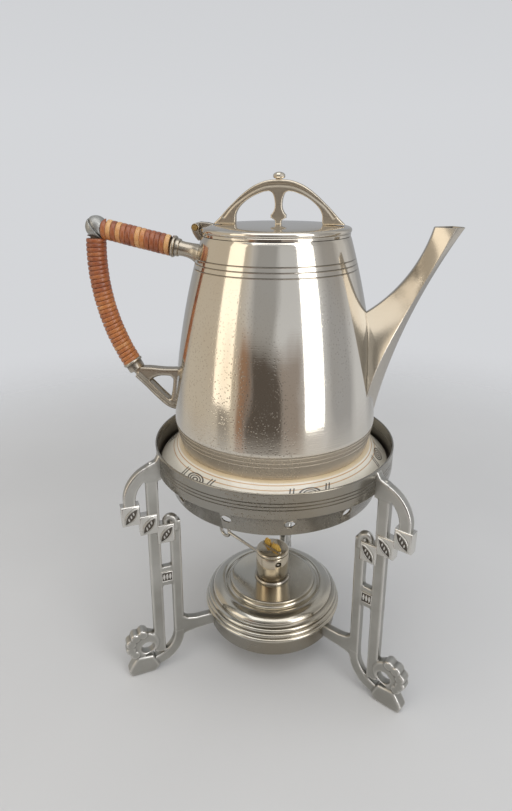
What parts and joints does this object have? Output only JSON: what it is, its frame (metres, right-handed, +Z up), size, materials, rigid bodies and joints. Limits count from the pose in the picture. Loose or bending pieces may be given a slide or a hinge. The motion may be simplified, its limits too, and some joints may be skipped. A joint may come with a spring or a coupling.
{
  "type": "coffee pot with warmer",
  "caption": "Hinged-lid coffee pot with folded spout and cane-wrapped handle on a three-legged stand with ceramic ring and spirit burner.",
  "frame": {"origin": "on the floor, under the middle of the outer box", "axes": "+X from the handle to the spout, +Z up, the third leg towards +Y"},
  "size_m": [0.2166, 0.1846, 0.3245],
  "materials": {
    "pewter": "polished",
    "cast_metal": "cast and polished",
    "grey_metal": "dull",
    "ceramic": "glazed",
    "cane": "satin",
    "dark_core": "matt",
    "brass": "polished",
    "cotton": "woven"
  },
  "bodies": {
    "stand": {"tray_gallery": "cast_metal", "leg_left": "cast_metal", "leg_right": "cast_metal", "leg_back": "cast_metal", "burner_hoop": "cast_metal", "leg_screws": "cast_metal"},
    "plate": {"ceramic_ring": "ceramic"},
    "pot": {"pot_body": "pewter", "pot_base": "pewter", "spout": "pewter", "upper_socket": "pewter", "upper_bar": "dark_core", "handle_knee": "grey_metal", "lower_bar": "dark_core", "lower_bracket": "pewter", "cane_wraps": "cane", "body_leaf": "pewter", "hinge_pin": "brass"},
    "lid": {"lid_cover": "pewter", "lid_skirt": "pewter", "lid_arch": "pewter", "lid_button": "pewter", "lid_leaf": "pewter"},
    "burner": {"tank_bowl": "pewter", "tank_rim": "pewter", "tank_cover": "pewter", "neck_collar": "pewter"},
    "burner_head": {"neck_sleeve": "pewter", "wick_tube": "brass"},
    "wick_knob": {"wick_shaft": "pewter"},
    "wick": {"wick": "cotton"}
  },
  "joints": [
    {"name": "plate_lift", "type": "slide", "parent": "stand", "child": "plate", "axis": [0, 0, 1], "range_m": [0, 0.04]},
    {"name": "pot_lift", "type": "slide", "parent": "plate", "child": "pot", "axis": [0, 0, 1], "range_m": [0, 0.12]},
    {"name": "lid_hinge", "type": "hinge", "parent": "pot", "child": "lid", "pos_m": [-0.03876, -0.01646, 0.2955], "axis": [0, -1, 0], "range_deg": [0, 105]},
    {"name": "burner_lift", "type": "slide", "parent": "stand", "child": "burner", "axis": [0, 0, 1], "range_m": [0, 0.04]},
    {"name": "head_lift", "type": "slide", "parent": "burner", "child": "burner_head", "axis": [0, 0, 1], "range_m": [0, 0.03]},
    {"name": "knob_turn", "type": "hinge", "parent": "burner_head", "child": "wick_knob", "pos_m": [0.00357, -0.02, 0.0715], "axis": [0.788, -0.6157, 0], "range_deg": [-110, 75]},
    {"name": "wick_raise", "type": "slide", "parent": "burner_head", "child": "wick", "axis": [0, 0, 1], "range_m": [-0.006, 0.004]}
  ],
  "couplings": [
    {"joint": "knob_turn", "follows": "wick_raise", "rad_per_m": 312.5}
  ]
}
